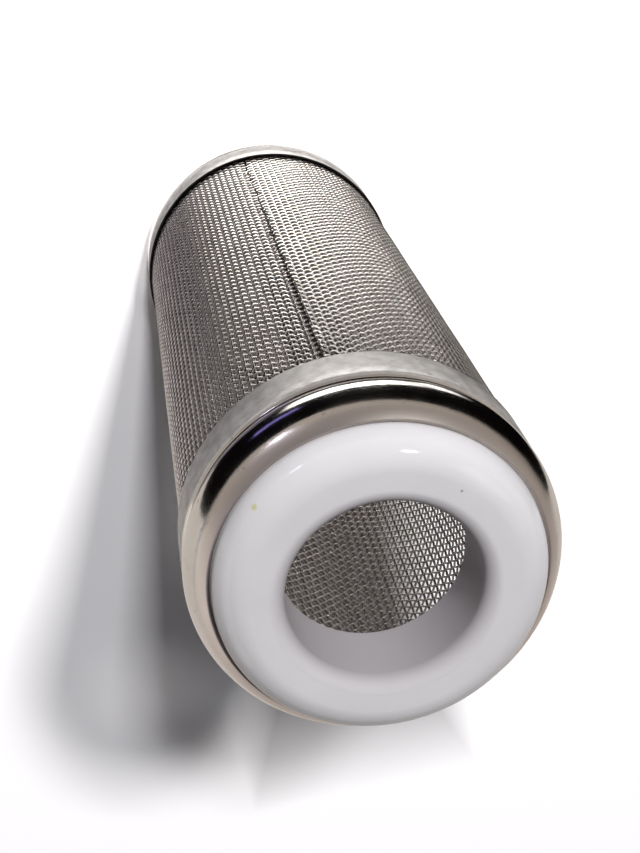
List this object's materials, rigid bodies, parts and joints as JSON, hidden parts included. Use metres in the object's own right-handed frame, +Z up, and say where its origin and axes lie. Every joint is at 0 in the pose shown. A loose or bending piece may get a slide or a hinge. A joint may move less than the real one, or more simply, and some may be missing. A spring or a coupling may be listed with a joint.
{
  "type": "mesh intake strainer",
  "caption": "Tubular wire-cloth intake strainer with a closed metal cap at one end and a metal collar with a white bored bush at the other.",
  "frame": {"origin": "middle of the end cap's flat end, which the strainer stands on", "axes": "+Z up along the sleeve's axis, from the closed cap to the bush's mouth; X and Y are any two directions across it"},
  "size_m": [0.0315, 0.0314, 0.0906],
  "materials": {
    "wire_cloth": "woven stainless wire",
    "cap_metal": "drawn stainless sheet, satin skirt and bright nose",
    "collar_metal": "drawn stainless sheet, satin skirt and bright bead",
    "white_plastic": "glossy moulded plastic"
  },
  "bodies": {
    "root": {"mesh_sleeve": "wire_cloth", "end_cap": "cap_metal", "inlet_collar": "collar_metal", "inlet_bush": "white_plastic"}
  },
  "joints": []
}
